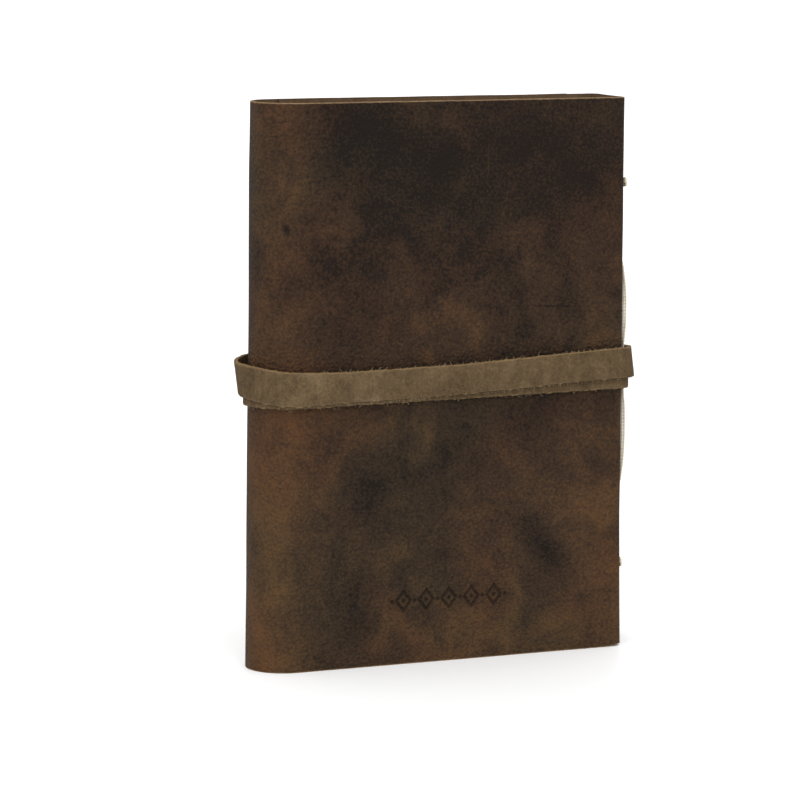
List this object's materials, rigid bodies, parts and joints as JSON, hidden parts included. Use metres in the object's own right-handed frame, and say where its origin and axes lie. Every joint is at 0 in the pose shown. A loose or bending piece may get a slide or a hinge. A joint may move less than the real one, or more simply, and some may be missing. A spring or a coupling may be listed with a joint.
{
  "type": "leather journal",
  "caption": "Hand-bound leather journal: soft wrap-round cover with a fore-edge flap, sewn sections of paper, long stitches on the spine and a strap wound twice round it.",
  "frame": {"origin": "bottom centre of the whole object's box, on the tail edges it stands on", "axes": "+X to the spine, -Y to the outer face of the back cover, +Z to the head"},
  "size_m": [0.1582, 0.0356, 0.21],
  "materials": {
    "cover_leather": "dark brown oiled hide, mottled, fine pebble grain",
    "strap_leather": "olive tan hide, raw cut edges",
    "paper": "unbleached cotton paper, deckled edges",
    "outer_sheets": "stout unbleached paper",
    "thread": "waxed linen thread"
  },
  "bodies": {
    "back": {"back_cover": "cover_leather", "foredge_fold_back": "cover_leather", "spine_back_corner": "cover_leather"},
    "fold_middle": {"foredge_fold_middle": "cover_leather"},
    "fold_front": {"foredge_fold_front": "cover_leather"},
    "spine": {"spine": "cover_leather", "spine_front_corner": "cover_leather", "tail_kettle_stitches": "thread", "head_kettle_stitches": "thread", "section_1_long_stitch": "thread", "section_2_long_stitch": "thread", "section_3_long_stitch": "thread", "section_4_long_stitch": "thread", "section_5_long_stitch": "thread", "section_6_long_stitch": "thread"},
    "front_cover": {"front_cover": "cover_leather"},
    "flap": {"flap": "cover_leather"},
    "strap": {"strap": "strap_leather"},
    "section_1": {"section_1_outer_sheet": "outer_sheets", "section_1_inner_sheets": "paper", "section_1_inside_thread": "thread"},
    "section_2": {"section_2_outer_sheet": "outer_sheets", "section_2_inner_sheets": "paper", "section_2_inside_thread": "thread"},
    "section_3": {"section_3_outer_sheet": "outer_sheets", "section_3_inner_sheets": "paper", "section_3_inside_thread": "thread"},
    "section_4": {"section_4_outer_sheet": "outer_sheets", "section_4_inner_sheets": "paper", "section_4_inside_thread": "thread"},
    "section_5": {"section_5_outer_sheet": "outer_sheets", "section_5_inner_sheets": "paper", "section_5_inside_thread": "thread"},
    "section_6": {"section_6_outer_sheet": "outer_sheets", "section_6_inner_sheets": "paper", "section_6_inside_thread": "thread"}
  },
  "joints": [
    {"name": "book_open", "type": "hinge", "parent": "back", "child": "spine", "pos_m": [0.07242, -0.01297, 0], "axis": [0, 0, -1], "range_deg": [0, 90], "deforming": ["spine_back_corner", "strap"]},
    {"name": "front_cover_open", "type": "hinge", "parent": "spine", "child": "front_cover", "pos_m": [0.07242, 0.01117, 0], "axis": [0, 0, -1], "range_deg": [0, 90], "deforming": ["spine_front_corner"]},
    {"name": "fold_back_unroll", "type": "hinge", "parent": "back", "child": "fold_middle", "pos_m": [-0.06619, -0.0122, 0], "axis": [0, 0, 1], "range_deg": [0, 58], "deforming": ["foredge_fold_back"]},
    {"name": "fold_middle_unroll", "type": "hinge", "parent": "fold_middle", "child": "fold_front", "pos_m": [-0.07323, 0, 0], "axis": [0, 0, 1], "range_deg": [0, 58], "deforming": ["foredge_fold_middle"]},
    {"name": "flap_open", "type": "hinge", "parent": "fold_front", "child": "flap", "pos_m": [-0.06619, 0.0122, 0], "axis": [0, 0, 1], "range_deg": [0, 58], "deforming": ["foredge_fold_front", "flap"]},
    {"name": "strap_slide", "type": "slide", "parent": "back", "child": "strap", "axis": [0, 0, 1], "range_m": [0, 0.12]},
    {"name": "section_1_turn", "type": "hinge", "parent": "spine", "child": "section_1", "pos_m": [0.07017, -0.01082, 0], "axis": [0, 0, -1], "range_deg": [-90, 0]},
    {"name": "section_2_turn", "type": "hinge", "parent": "spine", "child": "section_2", "pos_m": [0.07017, -0.00685, 0], "axis": [0, 0, -1], "range_deg": [-33.3, 0]},
    {"name": "section_3_turn", "type": "hinge", "parent": "spine", "child": "section_3", "pos_m": [0.07017, -0.00288, 0], "axis": [0, 0, -1], "range_deg": [-11.25, 0]},
    {"name": "section_4_turn", "type": "hinge", "parent": "spine", "child": "section_4", "pos_m": [0.07017, 0.00108, 0], "axis": [0, 0, -1], "range_deg": [0, 11.25]},
    {"name": "section_5_turn", "type": "hinge", "parent": "spine", "child": "section_5", "pos_m": [0.07017, 0.00505, 0], "axis": [0, 0, -1], "range_deg": [0, 33.3]},
    {"name": "section_6_turn", "type": "hinge", "parent": "spine", "child": "section_6", "pos_m": [0.07017, 0.00902, 0], "axis": [0, 0, -1], "range_deg": [0, 90]}
  ],
  "couplings": [
    {"joint": "front_cover_open", "follows": "book_open", "ratio": 1},
    {"joint": "fold_back_unroll", "follows": "book_open", "ratio": 0.64444},
    {"joint": "fold_middle_unroll", "follows": "book_open", "ratio": 0.64444},
    {"joint": "flap_open", "follows": "book_open", "ratio": 0.64444},
    {"joint": "section_1_turn", "follows": "book_open", "ratio": -1},
    {"joint": "section_2_turn", "follows": "book_open", "ratio": -0.37},
    {"joint": "section_3_turn", "follows": "book_open", "ratio": -0.125},
    {"joint": "section_4_turn", "follows": "book_open", "ratio": 0.125},
    {"joint": "section_5_turn", "follows": "book_open", "ratio": 0.37},
    {"joint": "section_6_turn", "follows": "book_open", "ratio": 1}
  ]
}
